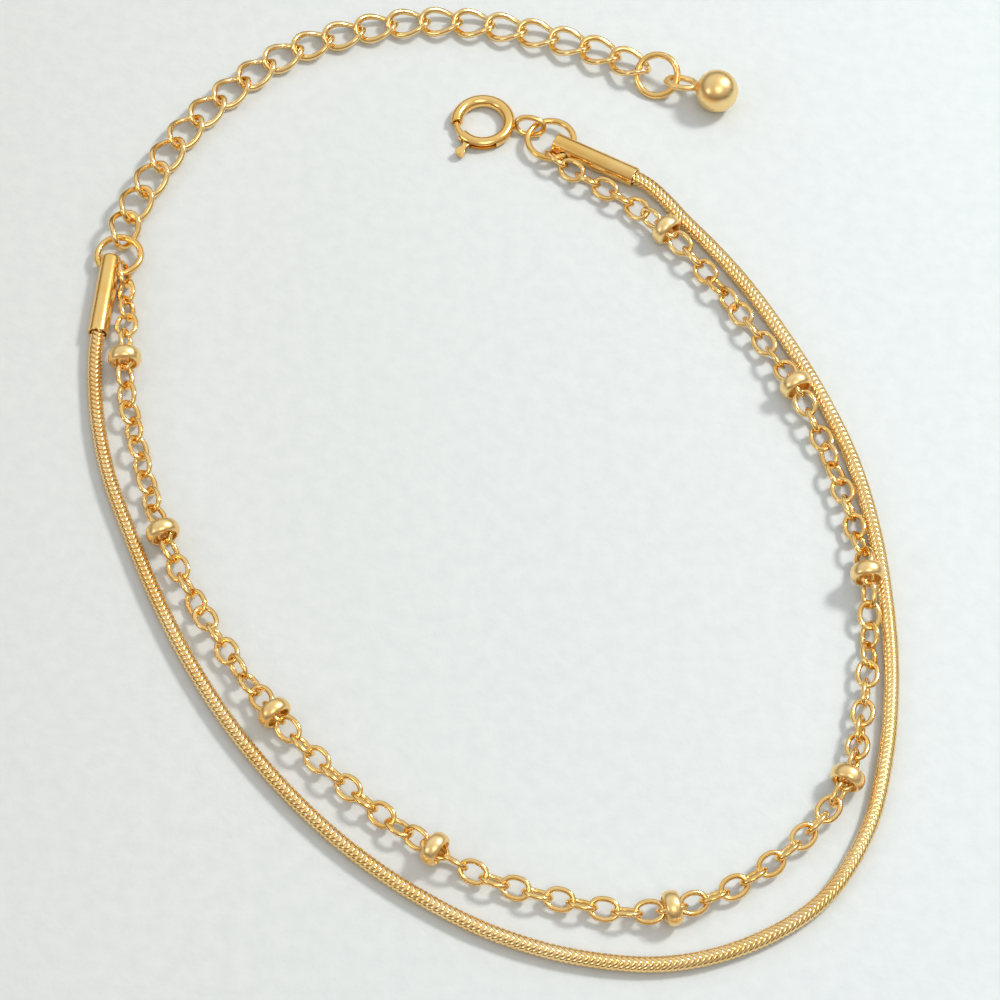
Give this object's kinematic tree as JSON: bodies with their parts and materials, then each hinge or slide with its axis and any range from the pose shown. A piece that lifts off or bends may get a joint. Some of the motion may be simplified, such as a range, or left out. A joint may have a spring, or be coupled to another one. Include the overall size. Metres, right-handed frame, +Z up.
{
  "type": "layered chain bracelet",
  "caption": "Two-strand gold bracelet: a snake chain and a beaded cable chain on one spring ring clasp, with an extender chain that ends in a ball.",
  "frame": {"origin": "on the surface that the bracelet lies on, under the middle of its bounding box", "axes": "+Z up, out of the surface; +X to the right and +Y away as pictured, so that the clasp and the extender are on the +Y side"},
  "size_m": [0.055, 0.0764, 0.0031],
  "materials": {
    "snake_gold": "fine polished gold plate, close chevron plates",
    "chain_gold": "polished gold wire",
    "bead_gold": "high polished gold",
    "fitting_gold": "polished gold"
  },
  "bodies": {
    "bracelet": {"snake_chain": "snake_gold", "cable_chain": "chain_gold", "bead_1": "bead_gold", "bead_2": "bead_gold", "bead_3": "bead_gold", "bead_4": "bead_gold", "bead_5": "bead_gold", "bead_6": "bead_gold", "bead_7": "bead_gold", "bead_8": "bead_gold", "bead_9": "bead_gold", "extender_link_01": "chain_gold", "extender_link_02": "chain_gold", "extender_link_03": "chain_gold", "extender_link_04": "chain_gold", "extender_link_05": "chain_gold", "extender_link_06": "chain_gold", "extender_link_07": "chain_gold", "extender_link_08": "chain_gold", "extender_link_09": "chain_gold", "extender_link_10": "chain_gold", "extender_link_11": "chain_gold", "extender_link_12": "chain_gold", "extender_link_13": "chain_gold", "extender_link_14": "chain_gold", "extender_link_15": "chain_gold", "extender_link_16": "chain_gold", "extender_link_17": "chain_gold", "extender_link_18": "chain_gold", "extender_link_19": "chain_gold", "extender_link_20": "chain_gold", "extender_end_ring": "fitting_gold", "ball_drop": "bead_gold", "jump_ring_left": "fitting_gold", "jump_ring_right": "fitting_gold", "end_cap_left": "fitting_gold", "end_cap_right": "fitting_gold", "clasp_ring": "fitting_gold"},
    "bolt": {"clasp_bolt": "fitting_gold"}
  },
  "joints": [
    {"name": "clasp_bolt_slide", "type": "hinge", "parent": "bracelet", "child": "bolt", "pos_m": [0, 0.02787, 0.00045], "axis": [0, 0, 1], "range_deg": [0, 45], "stiffness_Nm_per_rad": 0.0006, "springref_deg": -8.59}
  ]
}
